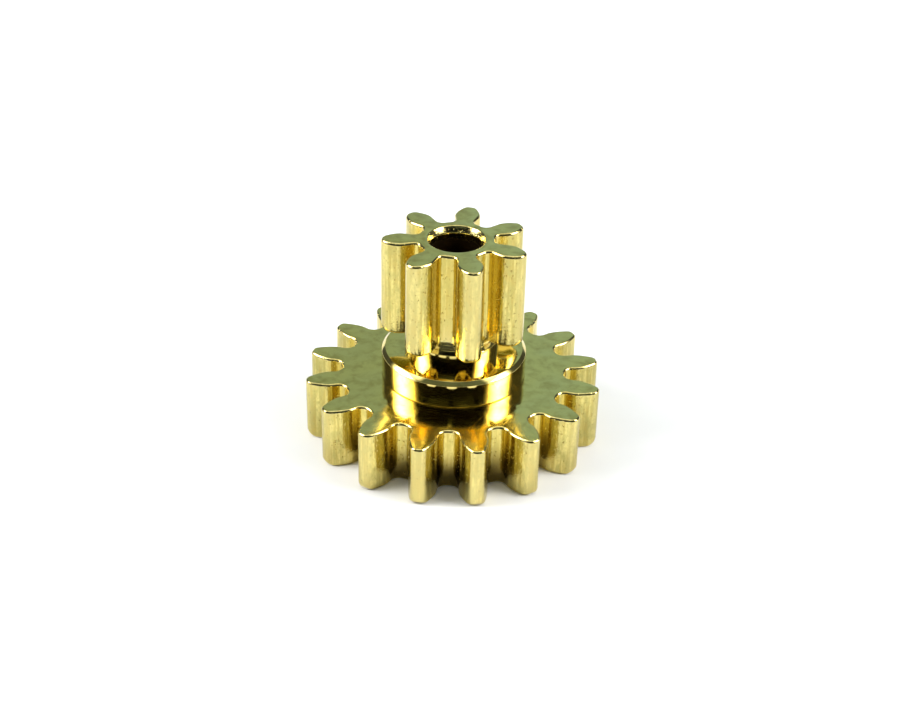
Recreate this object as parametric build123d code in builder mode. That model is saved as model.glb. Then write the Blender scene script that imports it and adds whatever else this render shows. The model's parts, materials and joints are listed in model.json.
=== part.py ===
from build123d import *

import math
import os

# A double spur gear of brass, standing on the underside of its large wheel.
# Three pieces share one hollow axis: a small pinion whose long shank runs down through the others,
# a collar pressed on the shank, and a wheel held between the collar's shoulder and its riveted spigot.
# Millimetres and degrees. +Z is up the axis, and Z = 0 is the underside of the wheel.

# ---- tooth system, the same for both gears ----
MODULE = 1.0
PRESSURE_ANGLE = 20.0
ADDENDUM = 1.0 * MODULE
DEDENDUM = 1.20 * MODULE
TOOTH_THINNING = 0.03
FLANK_POINTS = 6
BLANK_ALLOWANCE = 0.02

# ---- axial layout, from the underside up ----
WHEEL_FACE = 3.90
COLLAR_HEIGHT = 1.70
NECK_HEIGHT = 1.20
PINION_FACE = 6.05
NECK_Z = WHEEL_FACE + COLLAR_HEIGHT
PINION_Z = NECK_Z + NECK_HEIGHT
TOP_Z = PINION_Z + PINION_FACE

# ---- wheel ----
WHEEL_TEETH = 16
WHEEL_TIP_RADIUS = MODULE * WHEEL_TEETH / 2 + ADDENDUM
WHEEL_ROOT_RADIUS = MODULE * WHEEL_TEETH / 2 - DEDENDUM
WHEEL_TIP_ROUNDING = 0.22
WHEEL_ROOT_ROUNDING = 0.50
WHEEL_EDGE = 0.12
WHEEL_RIM_CORNER = 0.50

# ---- pinion: teeth on top, a plain neck under them, and a shank that reaches the underside ----
# The tooth spaces run out of the neck on a cone, which starts below the teeth and ends above their feet.
# One pinion tooth stands over the middle of a wheel tooth space, one and a half pitches round from +X.
PINION_TEETH = 7
PINION_CLOCKING = -1.5 * 360 / WHEEL_TEETH
PINION_TIP_RADIUS = 4.40
PINION_ROOT_RADIUS = MODULE * PINION_TEETH / 2 - DEDENDUM
PINION_TIP_ROUNDING = 0.20
PINION_ROOT_ROUNDING = 0.30
PINION_EDGE = 0.12
PINION_RIM_CORNER = 0.45
NECK_RADIUS = 2.70
RUNOUT_BELOW = 0.35
RUNOUT_ABOVE = 0.55
SHANK_RADIUS = 2.20
SHANK_KEYS = 12
BORE_RADIUS = 1.50
BORE_MOUTH_RADIUS = 1.73
BORE_MOUTH_ANGLE = 60
BORE_EDGE = 0.20

# ---- collar and its spigot, which is riveted over in the wheel's countersink ----
COLLAR_RADIUS = 4.37
COLLAR_BEVEL = 0.22
COLLAR_FOOT_EDGE = 0.06
SPIGOT_RADIUS = 3.20
SPIGOT_KEYS = 18
RIVET_SPREAD = 0.50
PUNCH_RING_RADIUS = 2.75
PUNCH_RING_WIDTH = 0.30
PUNCH_RING_DEPTH = 0.12

# ---- low half-round keys, which stop the two pressed seats from turning ----
KEY_RADIUS = 0.16


def involute(angle):
    """The involute function of an angle in radians."""
    return math.tan(angle) - angle


def half_tooth_angle(teeth, radius):
    """Half of the angle that a tooth spans at a radius, in radians: constant below the base circle."""
    pitch_radius = MODULE * teeth / 2
    pressure = math.radians(PRESSURE_ANGLE)
    base_radius = pitch_radius * math.cos(pressure)
    at_radius = math.acos(base_radius / max(radius, base_radius))
    at_pitch = (math.pi * MODULE / 2 - TOOTH_THINNING) / (2 * pitch_radius)
    return at_pitch + involute(pressure) - involute(at_radius)


def on_flank(teeth, radius):
    """The point of a tooth's upper flank at a radius, for a tooth that points along +X."""
    angle = half_tooth_angle(teeth, radius)
    return (radius * math.cos(angle), radius * math.sin(angle))


def tooth_outline(teeth, tip_radius, root_radius):
    """One tooth along +X: radial below the base circle, an involute above it, and a round tip."""
    base_radius = MODULE * teeth / 2 * math.cos(math.radians(PRESSURE_ANGLE))
    base_angle = half_tooth_angle(teeth, base_radius)
    tip_roll = math.sqrt((tip_radius / base_radius) ** 2 - 1)
    rolls = [tip_roll * i / (FLANK_POINTS - 1) for i in range(FLANK_POINTS)]
    inner_radius = 0.8 * root_radius
    with BuildSketch() as tooth:
        with BuildLine():
            flank = Spline(
                *[on_flank(teeth, base_radius * math.hypot(1, roll)) for roll in rolls],
                tangents=[
                    (math.cos(base_angle), math.sin(base_angle)),
                    (math.cos(base_angle - tip_roll), math.sin(base_angle - tip_roll)),
                ],
            )
            foot = Line(on_flank(teeth, inner_radius), flank @ 0)
            Line(foot @ 0, (inner_radius * math.cos(base_angle), 0))
            mirror(about=Plane.XZ)
            tip = flank @ 1
            ThreePointArc(tip, (tip_radius, 0), (tip.X, -tip.Y))
        make_face()
    return tooth.sketch


def gear_outline(teeth, tip_radius, root_radius, tip_rounding, root_rounding, clocking=0):
    """The closed outline of a spur gear, with its tip corners and root corners rounded."""
    tooth = tooth_outline(teeth, tip_radius, root_radius)
    with BuildSketch() as outline:
        Circle(root_radius)
        with PolarLocations(0, teeth, start_angle=clocking):
            add(tooth)
        corners = outline.vertices().group_by(SortBy.DISTANCE, tol_digits=3)
        fillet(corners[-1], tip_rounding)
        fillet(corners[0], root_rounding)
    return outline.sketch


def blank_profile(tip_radius, height, corner):
    """Half of the turned blank: from the axis to a rim whose lower corner is rounded."""
    with BuildSketch() as profile:
        Rectangle(tip_radius + BLANK_ALLOWANCE, height, align=(Align.MIN, Align.MIN))
        fillet(profile.vertices().group_by(Axis.X)[-1].sort_by(Axis.Y)[0], corner)
    return profile.sketch


def keyed_disc(radius, keys):
    """The section of a pressed seat: a disc with low half-round keys round its rim."""
    with BuildSketch() as disc:
        Circle(radius)
        with PolarLocations(radius, keys):
            Circle(KEY_RADIUS)
    return disc.sketch


def rivet_profile():
    """Half of the cone that the spigot's end is spread into, from the axis out."""
    with BuildSketch() as profile:
        with BuildLine():
            Polyline(
                (0, 0),
                (SPIGOT_RADIUS + RIVET_SPREAD, 0),
                (SPIGOT_RADIUS, RIVET_SPREAD),
                (0, RIVET_SPREAD),
                close=True,
            )
        make_face()
    return profile.sketch


def neck_profile():
    """Half of the neck: a cylinder, then the cone on which the tooth spaces run out."""
    with BuildSketch() as profile:
        with BuildLine():
            Polyline(
                (0, NECK_Z),
                (NECK_RADIUS, NECK_Z),
                (NECK_RADIUS, PINION_Z - RUNOUT_BELOW),
                (PINION_ROOT_RADIUS - BLANK_ALLOWANCE, PINION_Z + RUNOUT_ABOVE),
                (0, PINION_Z + RUNOUT_ABOVE),
                close=True,
            )
        make_face()
    return profile.sketch


def is_bore_edge(edge):
    return abs(edge.radius - BORE_RADIUS) < 1e-6


os.makedirs("parts", exist_ok=True)

# ---- wheel: a turned blank with a rounded rim, cut with teeth, keyed and countersunk for the spigot ----
with BuildPart() as wheel:
    with BuildSketch():
        add(gear_outline(WHEEL_TEETH, WHEEL_TIP_RADIUS, WHEEL_ROOT_RADIUS,
                         WHEEL_TIP_ROUNDING, WHEEL_ROOT_ROUNDING))
    extrude(amount=WHEEL_FACE)
    chamfer(wheel.edges().group_by(Axis.Z)[-1] + wheel.edges().group_by(Axis.Z)[0], WHEEL_EDGE)
    with BuildSketch(Plane.XZ):
        add(blank_profile(WHEEL_TIP_RADIUS, WHEEL_FACE, WHEEL_RIM_CORNER))
    revolve(axis=Axis.Z, mode=Mode.INTERSECT)
    with BuildSketch():
        add(keyed_disc(SPIGOT_RADIUS, SPIGOT_KEYS))
    extrude(amount=WHEEL_FACE, mode=Mode.SUBTRACT)
    with BuildSketch(Plane.XZ):
        add(rivet_profile())
    revolve(axis=Axis.Z, mode=Mode.SUBTRACT)
wheel.part.label = "wheel"
export_step(wheel.part, "parts/wheel.step")

# ---- collar: a shoulder that the wheel sits against, and a keyed spigot spread under the wheel ----
with BuildPart() as collar:
    with BuildSketch(Plane.XY.offset(WHEEL_FACE)):
        Circle(COLLAR_RADIUS)
    extrude(amount=COLLAR_HEIGHT)
    chamfer(collar.edges().group_by(Axis.Z)[-1], COLLAR_BEVEL)
    fillet(collar.edges().group_by(Axis.Z)[0], COLLAR_FOOT_EDGE)
    with BuildSketch():
        add(keyed_disc(SPIGOT_RADIUS, SPIGOT_KEYS))
    extrude(amount=WHEEL_FACE)
    with BuildSketch(Plane.XZ):
        add(rivet_profile())
    revolve(axis=Axis.Z)
    with BuildSketch():
        add(keyed_disc(SHANK_RADIUS, SHANK_KEYS))
    extrude(amount=NECK_Z, mode=Mode.SUBTRACT)
    with BuildSketch(Plane.XZ):
        with Locations((PUNCH_RING_RADIUS, 0)):
            Triangle(a=PUNCH_RING_WIDTH, b=PUNCH_RING_WIDTH, c=PUNCH_RING_WIDTH)
    revolve(axis=Axis.Z, mode=Mode.SUBTRACT)
collar.part.label = "collar"
export_step(collar.part, "parts/collar.step")

# ---- pinion: toothed head, plain neck whose shoulder bears on the collar, keyed shank, and the bore ----
with BuildPart() as pinion:
    with BuildSketch(Plane.XY.offset(PINION_Z)):
        add(gear_outline(PINION_TEETH, PINION_TIP_RADIUS, PINION_ROOT_RADIUS,
                         PINION_TIP_ROUNDING, PINION_ROOT_ROUNDING, PINION_CLOCKING))
    extrude(amount=PINION_FACE)
    chamfer(pinion.edges().group_by(Axis.Z)[-1] + pinion.edges().group_by(Axis.Z)[0], PINION_EDGE)
    with BuildSketch(Plane.XZ):
        with Locations((0, PINION_Z)):
            add(blank_profile(PINION_TIP_RADIUS, PINION_FACE, PINION_RIM_CORNER))
    revolve(axis=Axis.Z, mode=Mode.INTERSECT)
    with BuildSketch(Plane.XZ):
        add(neck_profile())
    revolve(axis=Axis.Z)
    with BuildSketch():
        add(keyed_disc(SHANK_RADIUS, SHANK_KEYS))
    extrude(amount=NECK_Z)
    with Locations((0, 0, TOP_Z)):
        CounterSinkHole(BORE_RADIUS, BORE_MOUTH_RADIUS, counter_sink_angle=BORE_MOUTH_ANGLE)
    bore_ends = pinion.edges().filter_by(GeomType.CIRCLE).filter_by(is_bore_edge)
    chamfer(bore_ends.group_by(Axis.Z)[0], BORE_EDGE)
pinion.part.label = "pinion"
export_step(pinion.part, "parts/pinion.step")
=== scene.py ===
import json
import math

import bmesh
import bpy
from mathutils import Matrix, Vector


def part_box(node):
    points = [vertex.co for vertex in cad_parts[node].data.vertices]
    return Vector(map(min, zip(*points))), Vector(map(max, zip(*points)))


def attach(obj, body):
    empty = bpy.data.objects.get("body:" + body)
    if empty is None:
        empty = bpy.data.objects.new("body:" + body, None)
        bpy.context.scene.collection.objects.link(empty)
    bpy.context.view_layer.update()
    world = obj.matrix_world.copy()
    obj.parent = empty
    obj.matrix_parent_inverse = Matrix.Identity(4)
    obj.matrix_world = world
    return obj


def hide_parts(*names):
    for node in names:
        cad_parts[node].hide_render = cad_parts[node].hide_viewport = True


# A compound spur gear of brass: wheel, collar and pinion, each modelled finely enough to mirror the studio
# cleanly, with rounded or bevelled edges. Metres; the axis is Z, and the underside of the wheel is at Z = 0.

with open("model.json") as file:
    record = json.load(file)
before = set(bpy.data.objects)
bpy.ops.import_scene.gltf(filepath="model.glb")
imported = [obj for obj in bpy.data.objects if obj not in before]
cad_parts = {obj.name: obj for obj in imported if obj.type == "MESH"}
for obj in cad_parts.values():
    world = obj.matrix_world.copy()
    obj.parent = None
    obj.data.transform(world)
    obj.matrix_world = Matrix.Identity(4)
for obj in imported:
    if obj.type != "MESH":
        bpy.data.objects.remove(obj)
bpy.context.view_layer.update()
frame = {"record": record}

# ---- sizes read from the frame ----
MM = 0.001
mounts = {mount["name"]: mount for mount in frame["record"]["mounts"]}
BORE_RADIUS = mounts["bore"]["dims"]["r_mm"] * MM
WHEEL_PITCH = mounts["wheel_teeth"]["dims"]["r_mm"] * MM
PINION_PITCH = mounts["pinion_teeth"]["dims"]["r_mm"] * MM
WHEEL_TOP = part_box("wheel")[1].z
COLLAR_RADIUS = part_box("collar")[1].x
COLLAR_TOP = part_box("collar")[1].z
PINION_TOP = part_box("pinion")[1].z
PINION_BOTTOM = PINION_TOP - mounts["pinion_teeth"]["dims"]["length_mm"] * MM

# ---- tooth system ----
MODULE = 1.0 * MM
PRESSURE_ANGLE = math.radians(20)
THINNING = 0.03 * MM
DEDENDUM = 1.20 * MODULE
WHEEL_TEETH = round(2 * WHEEL_PITCH / MODULE)
PINION_TEETH = round(2 * PINION_PITCH / MODULE)
PINION_CLOCKING = -1.5 * 2 * math.pi / WHEEL_TEETH
PINION_TIP = 4.40 * MM

# ---- the hidden joints, which show as hairlines on the underside ----
NECK_RADIUS = 2.70 * MM
SHANK_RADIUS = 2.20 * MM
SHANK_KEYS = 12
KEY_RADIUS = 0.16 * MM
SPIGOT_RADIUS = 3.20 * MM
RIVET_SPREAD = 0.50 * MM
HAIRLINE = 0.03 * MM

# ---- how finely curves are stepped ----
ROUND_STEPS = 8          # round a quarter circle of edge rounding
CIRCLE_STEPS = 240       # round a turned surface
TIP_STEPS = 4            # along half of a tooth's tip
TIP_CORNER_STEPS = 5
FLANK_STEPS = 12
ROOT_CORNER_STEPS = 6
SPACE_STEPS = 3          # along half of a tooth space's floor
SOFTENED_STEPS = 5       # round a softened corner of a turned profile
CIRCLE_HANDLE = 0.5523   # how far the handles of a cubic reach to follow a quarter circle
SHARP_ANGLE = 35         # degrees: the angle above which a corner is shaded as sharp


# ======== outlines in the XY plane ========

def polar(radius, angle):
    return Vector((radius * math.cos(angle), radius * math.sin(angle)))


def corner(start, point, end, steps):
    """A rounded corner from start to end, round the sharp point where they would meet."""
    first = start.lerp(point, CIRCLE_HANDLE)
    last = end.lerp(point, CIRCLE_HANDLE)
    path = []
    for step in range(steps + 1):
        t = step / steps
        s = 1 - t
        path.append(s**3 * start + 3 * s * s * t * first + 3 * s * t * t * last + t**3 * end)
    return path


def involute(angle):
    return math.tan(angle) - angle


def gear_outline(teeth, tip, root, tip_round, root_round, inset=0.0, rim_inset=0.0, clocking=0.0):
    """A spur gear's outline. inset moves all of it inwards, and rim_inset is the inset of the tips alone."""
    pitch = MODULE * teeth / 2
    base = pitch * math.cos(PRESSURE_ANGLE)
    tip -= max(inset, rim_inset)
    root -= inset
    tip_round = max(tip_round - inset, 0.02 * MM)
    root_round += inset
    base_angle = ((math.pi * MODULE / 2 - THINNING) / (2 * pitch) + involute(PRESSURE_ANGLE)
                  - inset / base)

    def on_flank(radius):
        return polar(radius, base_angle - involute(math.acos(base / max(radius, base))))

    # down one side of a tooth that points along +X: half its tip, its flank, and half a tooth space
    sharp_tip = on_flank(tip)
    tip_angle = math.atan2(sharp_tip.y, sharp_tip.x)
    side = [polar(tip, (tip_angle - tip_round / tip) * i / TIP_STEPS) for i in range(TIP_STEPS)]
    side += corner(polar(tip, tip_angle - tip_round / tip), sharp_tip, on_flank(tip - tip_round),
                   TIP_CORNER_STEPS)
    flank_foot = root + root_round
    side += [on_flank(tip - tip_round + (flank_foot - tip + tip_round) * i / FLANK_STEPS)
             for i in range(1, FLANK_STEPS)]
    fillet_end = base_angle + root_round / root
    side += corner(on_flank(flank_foot), polar(root, base_angle), polar(root, fillet_end),
                   ROOT_CORNER_STEPS)
    space_middle = math.pi / teeth
    side += [polar(root, fillet_end + (space_middle - fillet_end) * i / SPACE_STEPS)
             for i in range(1, SPACE_STEPS)]
    outline = []
    for tooth in range(teeth):
        turn = Matrix.Rotation(clocking + 2 * math.pi * tooth / teeth, 2)
        outline.append(turn @ polar(root, -space_middle))
        outline += [turn @ Vector((p.x, -p.y)) for p in reversed(side[1:])]
        outline += [turn @ p for p in side]
    return outline


def circle(radius):
    return [polar(radius, 2 * math.pi * i / CIRCLE_STEPS) for i in range(CIRCLE_STEPS)]


def keyed_circle(radius, inset=0.0):
    """A circle with low half-round keys round it, as on the shank's pressed seat."""
    outline = []
    for i in range(CIRCLE_STEPS):
        angle = 2 * math.pi * i / CIRCLE_STEPS
        off_key = (angle + math.pi / SHANK_KEYS) % (2 * math.pi / SHANK_KEYS) - math.pi / SHANK_KEYS
        across = radius * math.sin(off_key)
        rise = math.sqrt(max(KEY_RADIUS**2 - across**2, 0.0))
        outline.append(polar(radius + rise - inset, angle))
    return outline


# ======== skins: rings of points joined into closed surfaces ========

def rounding(radius, distance):
    """How far an edge rounding of this radius sets a wall in, at a distance from the face that it meets."""
    short = max(radius - distance, 0.0)
    return radius - math.sqrt(radius**2 - short**2)


def edge_levels(radius):
    """Distances from a face at which an edge rounding gets its rings, from the face outwards."""
    return [radius * (1 - math.cos(math.pi / 2 * i / ROUND_STEPS)) for i in range(ROUND_STEPS + 1)]


def add_ring(skin, outline, z):
    return [skin.verts.new((p.x, p.y, z)) for p in outline]


def join(skin, rings):
    for low, high in zip(rings, rings[1:]):
        for i in range(len(low)):
            skin.faces.new((low[i - 1], low[i], high[i], high[i - 1]))


def cap(skin, *loops):
    """A flat face between the loops, which lie in one plane."""
    edges = []
    for loop in loops:
        for i in range(len(loop)):
            edges.append(skin.edges.get((loop[i - 1], loop[i])) or skin.edges.new((loop[i - 1], loop[i])))
    bmesh.ops.triangle_fill(skin, edges=edges, use_beauty=True)


def lathe(skin, profile):
    """Turned surface rings from (radius, z) points."""
    return [add_ring(skin, circle(radius), z) for radius, z in profile]


def arc(centre_r, centre_z, radius, start, end):
    """Points of a turned profile's rounded corner, for angles in degrees from +radius towards +Z."""
    angles = [math.radians(start + (end - start) * i / ROUND_STEPS) for i in range(ROUND_STEPS + 1)]
    return [(centre_r + radius * math.cos(a), centre_z + radius * math.sin(a)) for a in angles]


def softened(profile, reach):
    """A profile whose inner corners are rounded, each from this far before it to this far after it."""
    points = [Vector(point) for point in profile]
    path = [points[0]]
    for before, point, after in zip(points, points[1:], points[2:]):
        start = point + (before - point).normalized() * reach
        end = point + (after - point).normalized() * reach
        path += corner(start, point, end, SOFTENED_STEPS)
    return [tuple(point) for point in path + [points[-1]]]


def as_solid(skin, name):
    bmesh.ops.recalc_face_normals(skin, faces=skin.faces)
    mesh = bpy.data.meshes.new(name)
    skin.to_mesh(mesh)
    skin.free()
    solid = bpy.data.objects.new(name, mesh)
    bpy.context.scene.collection.objects.link(solid)
    return solid


def combine(target, tool, operation):
    """Joins or cuts one solid with another, and removes the tool."""
    modifier = target.modifiers.new("combine", "BOOLEAN")
    modifier.object = tool
    modifier.operation = operation
    modifier.solver = "EXACT"
    evaluated = target.evaluated_get(bpy.context.evaluated_depsgraph_get())
    result = bpy.data.meshes.new_from_object(evaluated)
    target.modifiers.clear()
    target.data = result
    bpy.data.objects.remove(tool)


def smooth(piece):
    """Smooth shading that keeps flat faces flat and true corners sharp."""
    piece.data.shade_smooth()
    piece.data.set_sharp_from_angle(angle=math.radians(SHARP_ANGLE))
    modifier = piece.modifiers.new("flat faces stay flat", "WEIGHTED_NORMAL")
    modifier.keep_sharp = True
    modifier.weight = 100


# ======== wheel ========

WHEEL_TIP_ROUND = 0.22 * MM
WHEEL_ROOT_ROUND = 0.50 * MM
WHEEL_TOP_ROUND = 0.19 * MM
WHEEL_BOTTOM_ROUND = 0.16 * MM
WHEEL_RIM_ROUND = 0.50 * MM


def make_wheel():
    tip = WHEEL_PITCH + MODULE
    root = WHEEL_PITCH - DEDENDUM
    skin = bmesh.new()
    rings = []
    for level in edge_levels(WHEEL_RIM_ROUND):
        outline = gear_outline(WHEEL_TEETH, tip, root, WHEEL_TIP_ROUND, WHEEL_ROOT_ROUND,
                               rounding(WHEEL_BOTTOM_ROUND, level), rounding(WHEEL_RIM_ROUND, level))
        rings.append(add_ring(skin, outline, level))
    for level in reversed(edge_levels(WHEEL_TOP_ROUND)):
        outline = gear_outline(WHEEL_TEETH, tip, root, WHEEL_TIP_ROUND, WHEEL_ROOT_ROUND,
                               rounding(WHEEL_TOP_ROUND, level))
        rings.append(add_ring(skin, outline, WHEEL_TOP - level))
    join(skin, rings)
    rivet = SPIGOT_RADIUS + RIVET_SPREAD
    seat = lathe(skin, [(rivet + HAIRLINE, 0), (rivet, HAIRLINE),
                        (SPIGOT_RADIUS, RIVET_SPREAD), (SPIGOT_RADIUS, WHEEL_TOP)])
    join(skin, seat)
    cap(skin, rings[0], seat[0])
    cap(skin, rings[-1], seat[-1])
    return as_solid(skin, "gear_wheel")


# ======== collar ========

COLLAR_BEVEL = 0.22 * MM
COLLAR_BEVEL_ROUND = 0.018 * MM
COLLAR_FOOT_ROUND = 0.07 * MM
PUNCH_RING = 2.75 * MM
PUNCH_DEPTH = 0.13 * MM


def make_collar():
    skin = bmesh.new()
    rivet = SPIGOT_RADIUS + RIVET_SPREAD
    profile = [(PUNCH_RING - PUNCH_DEPTH, 0), (PUNCH_RING, PUNCH_DEPTH), (PUNCH_RING + PUNCH_DEPTH, 0),
               (rivet - 2 * HAIRLINE, 0), (rivet - HAIRLINE, HAIRLINE), (SPIGOT_RADIUS, RIVET_SPREAD),
               (SPIGOT_RADIUS, WHEEL_TOP)]
    profile += arc(COLLAR_RADIUS - COLLAR_FOOT_ROUND, WHEEL_TOP + COLLAR_FOOT_ROUND,
                   COLLAR_FOOT_ROUND, -90, 0)
    bevel = [(COLLAR_RADIUS, COLLAR_TOP - 2 * COLLAR_BEVEL), (COLLAR_RADIUS, COLLAR_TOP - COLLAR_BEVEL),
             (COLLAR_RADIUS - COLLAR_BEVEL, COLLAR_TOP), (COLLAR_RADIUS - 2 * COLLAR_BEVEL, COLLAR_TOP)]
    profile += softened(bevel, COLLAR_BEVEL_ROUND)
    outside = lathe(skin, profile)
    seat = [add_ring(skin, keyed_circle(SHANK_RADIUS, -HAIRLINE), 0),
            add_ring(skin, keyed_circle(SHANK_RADIUS), HAIRLINE),
            add_ring(skin, keyed_circle(SHANK_RADIUS), COLLAR_TOP)]
    join(skin, outside)
    join(skin, seat)
    cap(skin, outside[0], seat[0])
    cap(skin, outside[-1], seat[-1])
    return as_solid(skin, "turned_collar")


# ======== pinion ========

PINION_ROOT = PINION_PITCH - DEDENDUM
PINION_TIP_ROUND = 0.24 * MM
PINION_ROOT_ROUND = 0.31 * MM
PINION_TOP_ROUND = 0.21 * MM
PINION_BOTTOM_ROUND = 0.18 * MM
PINION_RIM_ROUND = 0.45 * MM
# the run-out cone with the cutter's low steps left in it, in millimetres: out from the neck, up from the
# feet of the teeth
RUNOUT = [(0.00, -0.36), (-0.015, -0.35), (-0.13, -0.12), (-0.15, -0.105),
          (-0.27, 0.18), (-0.29, 0.195), (-0.42, 0.55)]
RUNOUT_ROUND = 0.008 * MM
MOUTH_RADIUS = 1.73 * MM
MOUTH_DEPTH = 0.40 * MM
MOUTH_ROUND = 0.07 * MM
LOWER_EDGE = 0.20 * MM


def make_pinion():
    teeth = bmesh.new()
    rings = []
    for level in edge_levels(PINION_RIM_ROUND):
        outline = gear_outline(PINION_TEETH, PINION_TIP, PINION_ROOT, PINION_TIP_ROUND, PINION_ROOT_ROUND,
                               rounding(PINION_BOTTOM_ROUND, level), rounding(PINION_RIM_ROUND, level),
                               PINION_CLOCKING)
        rings.append(add_ring(teeth, outline, PINION_BOTTOM + level))
    for level in reversed(edge_levels(PINION_TOP_ROUND)):
        outline = gear_outline(PINION_TEETH, PINION_TIP, PINION_ROOT, PINION_TIP_ROUND, PINION_ROOT_ROUND,
                               rounding(PINION_TOP_ROUND, level), 0.0, PINION_CLOCKING)
        rings.append(add_ring(teeth, outline, PINION_TOP - level))
    join(teeth, rings)
    cap(teeth, rings[0])
    cap(teeth, rings[-1])
    pinion = as_solid(teeth, "pinion_gear")

    body = bmesh.new()
    shank = [add_ring(body, keyed_circle(SHANK_RADIUS, HAIRLINE), 0),
             add_ring(body, keyed_circle(SHANK_RADIUS), HAIRLINE),
             add_ring(body, keyed_circle(SHANK_RADIUS), COLLAR_TOP)]
    # the tooth spaces run out on a cone
    runout = [(NECK_RADIUS + out * MM, PINION_BOTTOM + up * MM) for out, up in RUNOUT]
    neck = lathe(body, softened([(NECK_RADIUS, COLLAR_TOP)] + runout, RUNOUT_ROUND))
    join(body, shank)
    join(body, neck)
    cap(body, shank[0])
    cap(body, shank[-1], neck[0])
    cap(body, neck[-1])
    combine(pinion, as_solid(body, "shank"), "UNION")

    drill = bmesh.new()
    beyond = 1.0 * MM
    mouth = softened([(BORE_RADIUS, PINION_TOP - 2 * MOUTH_DEPTH), (BORE_RADIUS, PINION_TOP - MOUTH_DEPTH),
                      (MOUTH_RADIUS, PINION_TOP), (MOUTH_RADIUS + 2 * MOUTH_ROUND, PINION_TOP)], MOUTH_ROUND)
    hole = lathe(drill, [(BORE_RADIUS + LOWER_EDGE, -beyond), (BORE_RADIUS + LOWER_EDGE, 0),
                         (BORE_RADIUS, LOWER_EDGE)] + mouth[:-1]
                 + [(MOUTH_RADIUS + MOUTH_ROUND, PINION_TOP + beyond)])
    join(drill, hole)
    cap(drill, hole[0])
    cap(drill, hole[-1])
    combine(pinion, as_solid(drill, "drill"), "DIFFERENCE")
    return pinion


# ======== materials ========

# flat and turned surfaces: two tones of clean brass, and the brown film on it
WARM_BRASS = (0.760, 0.605, 0.180)
PALE_BRASS = (0.715, 0.585, 0.195)
BROWN_FILM = (0.540, 0.405, 0.110)

# tooth walls
STREAK_DARK = (0.520, 0.410, 0.115)
STREAK_LIGHT = (0.740, 0.635, 0.215)
MOTTLE = (0.470, 0.415, 0.130)
PIT = (0.280, 0.200, 0.060)
GRAIN = (0.400, 0.330, 0.110)
# painted shade: the deeper, darker gold inside the tooth spaces
SPACE_SHADE_GOLD = (0.660, 0.495, 0.090)
# painted shade: near-black for the low ends of the tooth spaces
GULLET_SHADE = (0.150, 0.110, 0.030)
# the lighter colour of worn edges and tips: real wear, and partly a painted highlight
WEAR_AND_SHEEN = (0.720, 0.610, 0.260)

# the drilled wall of the bore, painted dark as shade deep in the bore
BORE_SHADE_DARK = (0.10, 0.055, 0.02)
BORE_SHADE_LIGHT = (0.24, 0.15, 0.05)

BUMP_DISTANCE = 0.004 * MM

class Graph:
    """Builds a node graph one value at a time."""

    def __init__(self, tree):
        self.nodes = tree.nodes
        self.links = tree.links

    def add(self, kind, inputs, output=0, **settings):
        """One node, its settings, its inputs by name or number, and the output asked for."""
        node = self.nodes.new(kind)
        for name, value in settings.items():
            setattr(node, name, value)
        for socket, value in inputs.items():
            if isinstance(value, bpy.types.NodeSocket):
                self.links.new(value, node.inputs[socket])
            else:
                node.inputs[socket].default_value = value
        return node.outputs[output]

    def math(self, operation, *values):
        return self.add("ShaderNodeMath", dict(enumerate(values)), operation=operation)

    def length(self, x, y):
        """The length of the vector (x, y)."""
        return self.math("SQRT", self.math("ADD", self.math("MULTIPLY", x, x), self.math("MULTIPLY", y, y)))

    def step(self, value, start, end, low=0.0, high=1.0):
        """A smooth change from low to high as the value goes from start to end."""
        return self.add("ShaderNodeMapRange", {"Value": value, "From Min": start, "From Max": end,
                                               "To Min": low, "To Max": high},
                        interpolation_type="SMOOTHSTEP")

    def mix(self, factor, first, second):
        """A value or a colour between the first, where the factor is 0, and the second, where it is 1."""
        if isinstance(first, (int, float)) or getattr(first, "type", "") == "VALUE":
            return self.add("ShaderNodeMix", {0: factor, 2: first, 3: second})
        first, second = [(*c, 1) if isinstance(c, tuple) else c for c in (first, second)]
        return self.add("ShaderNodeMix", {0: factor, 6: first, 7: second}, 2, data_type="RGBA")

    def noise(self, vector, stretch, detail=2.0, distortion=0.0):
        """Soft noise from 0 to 1, with this many features per unit along each axis."""
        scaled = self.add("ShaderNodeVectorMath", {0: vector, 1: stretch}, operation="MULTIPLY")
        return self.add("ShaderNodeTexNoise", {"Vector": scaled, "Scale": 1.0, "Detail": detail,
                                               "Distortion": distortion})


def scratches(graph, place, turn, wide, strength):
    """Sparse straight hairline scratches across flat faces, all at one angle."""
    turned = graph.add("ShaderNodeVectorRotate", {"Vector": place, "Angle": math.radians(turn)},
                       rotation_type="Z_AXIS")
    lines = graph.noise(turned, (0.22, wide, 1.0), detail=3.0)
    fine = graph.step(lines, 0.63, 0.70)
    return graph.math("MULTIPLY", fine, strength)


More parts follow.
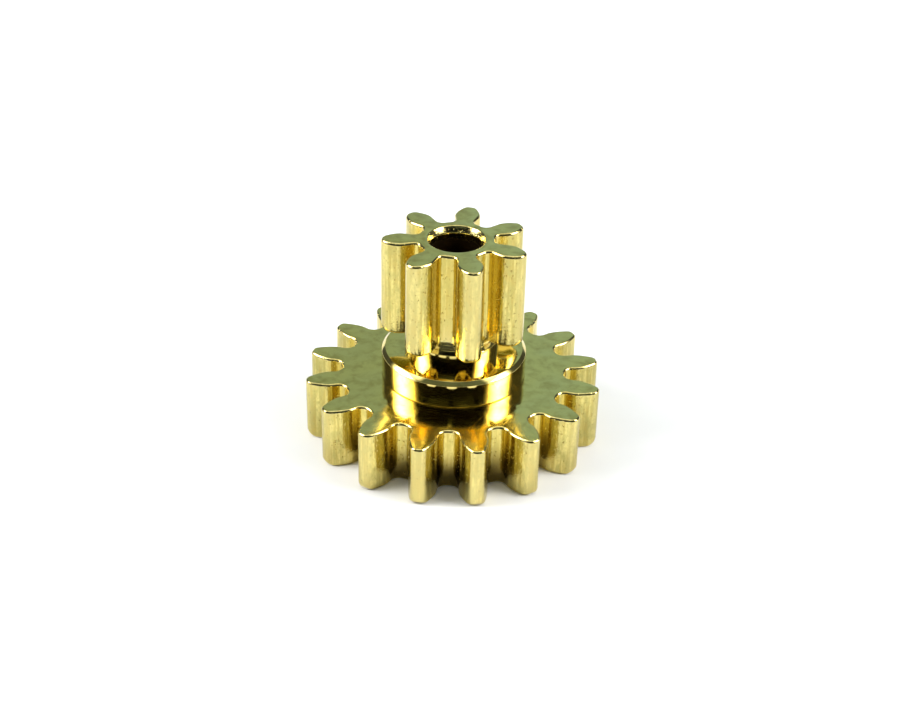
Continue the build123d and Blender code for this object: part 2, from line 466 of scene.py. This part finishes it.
def make_brass(name, teeth_from=None, bore=None, root=0.0, tip=None, gullet_shade=0.0, face_roughness=0.07,
               outer_roughness=0.07):
    """Brass with polished flat faces, turned round surfaces, tumbled tooth walls and a drilled bore.

    teeth_from is the height above which side walls are tooth walls (None: they are turned). bore is the
    radius of the drilled bore (None: there is none). root and tip are the gear's root and tip radii. All
    are in millimetres. gullet_shade is how dark the painted shade at the low ends of the tooth spaces is.
    The two roughnesses are those of the flat faces, inside and outside the root radius.
    """
    material = bpy.data.materials.new(name)
    material.use_nodes = True
    graph = Graph(material.node_tree)
    shader = graph.nodes["Principled BSDF"]
    shader.inputs["Metallic"].default_value = 1.0

    spot = graph.add("ShaderNodeTexCoord", {}, "Object")
    place = graph.add("ShaderNodeVectorMath", {0: spot, "Scale": 1000.0}, operation="SCALE")
    x, y, z = [graph.add("ShaderNodeSeparateXYZ", {0: place}, axis) for axis in range(3)]
    facing = graph.add("ShaderNodeTexCoord", {}, "Normal")
    upness = graph.math("ABSOLUTE", graph.add("ShaderNodeSeparateXYZ", {0: facing}, 2))
    radius = graph.length(x, y)
    flat = graph.step(upness, 0.93, 0.985)
    side = graph.step(upness, 0.30, 0.06)
    rounded = graph.math("SUBTRACT", graph.math("SUBTRACT", 1.0, flat), side)

    # colour: broad tone changes, and a slight brown film in soft blotches
    broad = graph.noise(place, (0.30, 0.30, 0.30), detail=3.0)
    film = graph.step(graph.noise(place, (1.4, 1.4, 0.8), detail=5.0, distortion=0.3), 0.38, 0.80)
    colour = graph.mix(graph.step(broad, 0.35, 0.65), WARM_BRASS, PALE_BRASS)
    colour = graph.mix(film, colour, BROWN_FILM)

    # flat faces: ground, then polished, with hairline scratches left in
    grain = graph.noise(place, (7.0, 7.0, 7.0), detail=4.0)
    hairlines = graph.math("ADD", scratches(graph, place, 24.0, 9.0, 1.0),
                           scratches(graph, place, -51.0, 7.0, 0.7))
    smears = graph.noise(place, (0.7, 0.7, 0.7), detail=2.0, distortion=1.2)
    flat_rough = graph.mix(smears, face_roughness * 0.6, face_roughness * 1.4)
    flat_rough = graph.mix(graph.step(radius, root - 1.0, root + 0.3), flat_rough, outer_roughness)
    flat_rough = graph.math("ADD", flat_rough, graph.math("MULTIPLY", hairlines, 0.05))
    flat_height = graph.math("SUBTRACT", graph.math("MULTIPLY", grain, 0.35),
                             graph.math("MULTIPLY", hairlines, 0.35))

    # turned surfaces: fine rings left by the tool
    rings = graph.noise(graph.add("ShaderNodeCombineXYZ", {0: radius, 2: z}), (14.0, 1.0, 14.0), detail=3.0)
    wander = graph.noise(place, (0.8, 0.8, 2.5), detail=3.0)
    turned_rough = graph.mix(wander, 0.04, 0.08)
    turned_height = graph.math("ADD", graph.math("MULTIPLY", rings, 0.5), graph.math("MULTIPLY", wander, 1.2))
    if teeth_from is None:
        tooth = 0.0
    else:
        tooth = graph.step(z, teeth_from - 0.02, teeth_from + 0.05)

    # tooth walls: tumbled after cutting, with streaks along the cut, fine grain and small dark pits
    streaks = graph.noise(place, (5.0, 5.0, 0.30), detail=4.0)
    pits = graph.step(graph.noise(place, (6.5, 6.5, 5.0), detail=3.0), 0.62, 0.74)
    mottle = graph.noise(place, (3.2, 3.2, 1.6), detail=5.0)
    wall_rough = graph.mix(graph.step(streaks, 0.3, 0.7), 0.11, 0.20)
    wall_rough = graph.math("ADD", wall_rough, graph.math("MULTIPLY", pits, 0.20))
    wall_height = graph.math("ADD", graph.math("MULTIPLY", streaks, 2.6), graph.math("MULTIPLY", grain, 2.2))
    wall_height = graph.math("SUBTRACT", wall_height, graph.math("MULTIPLY", pits, 2.5))
    wall_colour = graph.mix(graph.step(streaks, 0.40, 0.62), STREAK_DARK, STREAK_LIGHT)
    wall_colour = graph.mix(graph.step(mottle, 0.40, 0.64, 0.0, 0.75), wall_colour, MOTTLE)
    wall_colour = graph.mix(graph.math("MULTIPLY", pits, 0.45), wall_colour, PIT)
    grain_tone = graph.noise(place, (9.0, 9.0, 6.0), detail=3.0)
    wall_colour = graph.mix(graph.step(grain_tone, 0.60, 0.30, 0.0, 0.35), wall_colour, GRAIN)

    # painted shade: the tooth spaces are painted a deeper, darker gold inside
    space_shade = graph.math("MULTIPLY", graph.step(radius, root + 1.10, root + 0.45, 0.0, 0.85),
                        graph.step(radius, root + 0.05, root + 0.30, 0.25, 1.0))
    wall_colour = graph.mix(space_shade, wall_colour, SPACE_SHADE_GOLD)
    # painted shade: the tooth spaces are painted darker towards their low ends, near the floor
    gullet_shade_mask = graph.math("MULTIPLY", graph.step(radius, root + 1.00, root + 0.20, 0.0, gullet_shade),
                      graph.step(z, 3.2, 0.7))
    wall_colour = graph.mix(gullet_shade_mask, wall_colour, GULLET_SHADE)

    # the worn tops and tips of the teeth are smoother than their walls, and painted lighter: real wear, and
    # partly a painted highlight
    wear_and_sheen = graph.step(rounded, 0.10, 0.60)
    if tip is not None:
        wear_and_sheen = graph.math("MAXIMUM", wear_and_sheen, graph.step(radius, tip - 0.45, tip - 0.05, 0.0, 0.7))
    wall_rough = graph.mix(graph.math("MULTIPLY", wear_and_sheen, 0.6), wall_rough, 0.12)
    wall_colour = graph.mix(graph.math("MULTIPLY", wear_and_sheen, 0.5), wall_colour, WEAR_AND_SHEEN)

    side_rough = graph.mix(tooth, turned_rough, wall_rough)
    side_height = graph.mix(tooth, turned_height, wall_height)
    side_colour = graph.mix(tooth, colour, wall_colour)
    if bore is not None:
        # the reamed top of the bore is bright, and gives way raggedly to the dull drilled wall below, which
        # is rough and painted dark as shade deep in the bore
        marks = graph.noise(place, (0.6, 0.6, 7.0), detail=3.0)
        waver = graph.noise(place, (2.2, 2.2, 0.4), detail=4.0)
        ragged = graph.math("ADD", z, graph.math("MULTIPLY", waver, 0.5))
        drilled_and_shaded = graph.math("MULTIPLY", graph.step(radius, bore + 0.26, bore + 0.21),
                             graph.step(ragged, PINION_TOP / MM - 0.30, PINION_TOP / MM - 0.62))
        side_rough = graph.mix(drilled_and_shaded, side_rough, graph.mix(marks, 0.22, 0.40))
        side_colour = graph.mix(drilled_and_shaded, side_colour, graph.mix(marks, BORE_SHADE_DARK, BORE_SHADE_LIGHT))
        side_height = graph.mix(drilled_and_shaded, side_height, graph.math("MULTIPLY", marks, 2.0))

    rough = graph.mix(flat, side_rough, flat_rough)
    height = graph.mix(flat, side_height, flat_height)
    bump = graph.add("ShaderNodeBump", {"Height": height, "Distance": BUMP_DISTANCE, "Strength": 1.0})
    graph.links.new(graph.mix(flat, side_colour, colour), shader.inputs["Base Color"])
    graph.links.new(rough, shader.inputs["Roughness"])
    graph.links.new(bump, shader.inputs["Normal"])
    return material


# the wheel's tooth spaces get painted shade at their low ends, and the pinion's do not
brasses = {
    "wheel": make_brass("wheel_brass", teeth_from=-1.0, root=6.8, tip=9.0, gullet_shade=0.95,
                        face_roughness=0.08, outer_roughness=0.19),
    "collar": make_brass("collar_brass"),
    "pinion": make_brass("pinion_brass", teeth_from=PINION_BOTTOM / MM, root=2.3, tip=4.4, gullet_shade=0.0,
                         bore=BORE_RADIUS / MM),
}
for maker, node in ((make_wheel, "wheel"), (make_collar, "collar"), (make_pinion, "pinion")):
    piece = maker()
    smooth(piece)
    piece.data.materials.clear()
    piece.data.materials.append(brasses[node])
    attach(piece, "root")
    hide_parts(node)


# ======== floor, light and camera ========

CAMERA_AZIMUTH = -9.96
CAMERA_ELEVATION = 31.64
CAMERA_DISTANCE = 100 * MM
CAMERA_LENS = 63.8
CAMERA_PAN = -0.287
CAMERA_TILT = 0.539
CAMERA_ROLL = 1.362

SOFTBOX_DISTANCE = 1.5

# the room's colours, as a mirror would show them
OVERHEAD = (1.4, 1.4, 1.4)
HIGH_SIDES = (4.0, 4.0, 4.0)
WALL_LEFT = (0.34, 0.48, 0.47)
WALL_RIGHT = (0.38, 0.57, 0.63)
DIM_SIDES = (0.08, 0.09, 0.10)
FRONT_LOW = (0.09, 0.10, 0.10)
FRONT_BLACK = (0.0, 0.0, 0.0)
FRONT_HIGH = (0.15, 0.19, 0.18)
BACKDROP = (1.0, 1.0, 1.0)


def direction(azimuth, elevation):
    """From the object towards a place: azimuth 0 is in front (-Y), 90 is right (+X)."""
    a, e = math.radians(azimuth), math.radians(elevation)
    return Vector((math.sin(a) * math.cos(e), -math.cos(a) * math.cos(e), math.sin(e)))


def make_camera():
    data = bpy.data.cameras.new("camera")
    data.lens = CAMERA_LENS
    data.clip_start = 0.01
    data.clip_end = 20
    camera = bpy.data.objects.new("camera", data)
    bpy.context.scene.collection.objects.link(camera)
    back = direction(CAMERA_AZIMUTH, CAMERA_ELEVATION)
    aim = (-back).to_track_quat("-Z", "Y").to_matrix()
    small_turns = (Matrix.Rotation(math.radians(CAMERA_PAN), 3, "Y")
                   @ Matrix.Rotation(math.radians(CAMERA_TILT), 3, "X")
                   @ Matrix.Rotation(math.radians(CAMERA_ROLL), 3, "Z"))
    camera.matrix_world = (Matrix.Translation(Vector((0, 0, WHEEL_TOP)) + back * CAMERA_DISTANCE)
                           @ (aim @ small_turns).to_4x4())
    bpy.context.scene.camera = camera


def make_floor():
    mesh = bpy.data.meshes.new("floor")
    skin = bmesh.new()
    bmesh.ops.create_grid(skin, x_segments=1, y_segments=1, size=3.0)
    skin.to_mesh(mesh)
    skin.free()
    floor = bpy.data.objects.new("floor", mesh)
    bpy.context.scene.collection.objects.link(floor)
    material = bpy.data.materials.new("floor")
    material.use_nodes = True
    shader = material.node_tree.nodes["Principled BSDF"]
    shader.inputs["Base Color"].default_value = (0.85, 0.85, 0.85, 1)
    shader.inputs["Roughness"].default_value = 0.9
    mesh.materials.append(material)


def make_softbox(azimuth, elevation, spread, radiance):
    """A large light that faces the object, even in its middle and fading towards its sides.

    Azimuth is from the camera's side. Spread is how far it reaches across and up, in degrees, to where it
    is down to about a third. Radiance is what a mirror would show of its middle.
    """
    reach = [SOFTBOX_DISTANCE * math.tan(math.radians(angle)) for angle in spread]
    data = bpy.data.lights.new("softbox", "AREA")
    data.shape = "RECTANGLE"
    data.size, data.size_y = 4 * reach[0], 4 * reach[1]
    data.energy = radiance * math.pi * data.size * data.size_y
    light = bpy.data.objects.new("softbox", data)
    bpy.context.scene.collection.objects.link(light)
    back = direction(CAMERA_AZIMUTH + azimuth, elevation)
    light.location = back * SOFTBOX_DISTANCE
    light.rotation_mode = "QUATERNION"
    light.rotation_quaternion = back.to_track_quat("Z", "Y")
    light.visible_camera = False
    data.use_nodes = True
    graph = Graph(data.node_tree)
    across = graph.add("ShaderNodeNewGeometry", {}, "Parametric")
    fade = 0.0
    for axis in range(2):
        offset = graph.math("SUBTRACT", graph.add("ShaderNodeSeparateXYZ", {0: across}, axis), 0.5)
        out = graph.math("ABSOLUTE", graph.math("MULTIPLY", offset, 4.0))
        fade = graph.math("ADD", fade, graph.math("POWER", out, 3.0))
    strength = graph.math("EXPONENT", graph.math("MULTIPLY", fade, -1.0))
    graph.links.new(strength, graph.nodes["Emission"].inputs["Strength"])


def make_world():
    """A dark room with a wall straight behind, and light patches overhead and high at the sides.

    Its front is black at the height that the collar mirrors, and dim below and above that. The camera
    itself sees a plain white backdrop.
    """
    world = bpy.data.worlds.new("studio")
    bpy.context.scene.world = world
    world.use_nodes = True
    graph = Graph(world.node_tree)
    towards = graph.add("ShaderNodeTexCoord", {}, "Generated")
    x, y, z = [graph.add("ShaderNodeSeparateXYZ", {0: towards}, axis) for axis in range(3)]
    level = graph.length(x, y)

    def component(azimuth):
        """How far the direction, seen from above, points towards an azimuth: 1 is straight towards it."""
        aim = direction(CAMERA_AZIMUTH + azimuth, 0)
        along = graph.math("ADD", graph.math("MULTIPLY", x, aim.x), graph.math("MULTIPLY", y, aim.y))
        return graph.math("DIVIDE", along, graph.math("MAXIMUM", level, 0.0001))

    forward = component(0)
    wall = graph.mix(graph.step(component(90), -0.08, 0.08), WALL_LEFT, WALL_RIGHT)
    room = graph.mix(graph.step(forward, -0.95, -0.75), wall, DIM_SIDES)
    ahead = graph.mix(graph.step(z, 0.45, 0.34), FRONT_BLACK, FRONT_LOW)
    ahead = graph.mix(graph.step(z, 0.58, 0.66), ahead, FRONT_HIGH)
    room = graph.mix(graph.step(forward, -0.10, 0.40), room, ahead)
    beside = graph.math("MULTIPLY", graph.step(graph.math("ABSOLUTE", forward), 0.55, 0.25),
                        graph.math("MULTIPLY", graph.step(z, 0.66, 0.76), graph.step(z, 0.95, 0.85)))
    room = graph.mix(beside, room, HIGH_SIDES)
    room = graph.mix(graph.step(z, 0.89, 0.965), room, OVERHEAD)
    seen = graph.add("ShaderNodeLightPath", {}, "Is Camera Ray")
    graph.links.new(graph.mix(seen, room, BACKDROP), graph.nodes["Background"].inputs["Color"])


make_camera()
make_floor()
make_softbox(azimuth=-88, elevation=33, spread=(14.9, 8.0), radiance=29.0)
make_softbox(azimuth=80, elevation=33, spread=(13.6, 8.0), radiance=28.0)
make_world()
bpy.context.scene.view_settings.view_transform = "Standard"
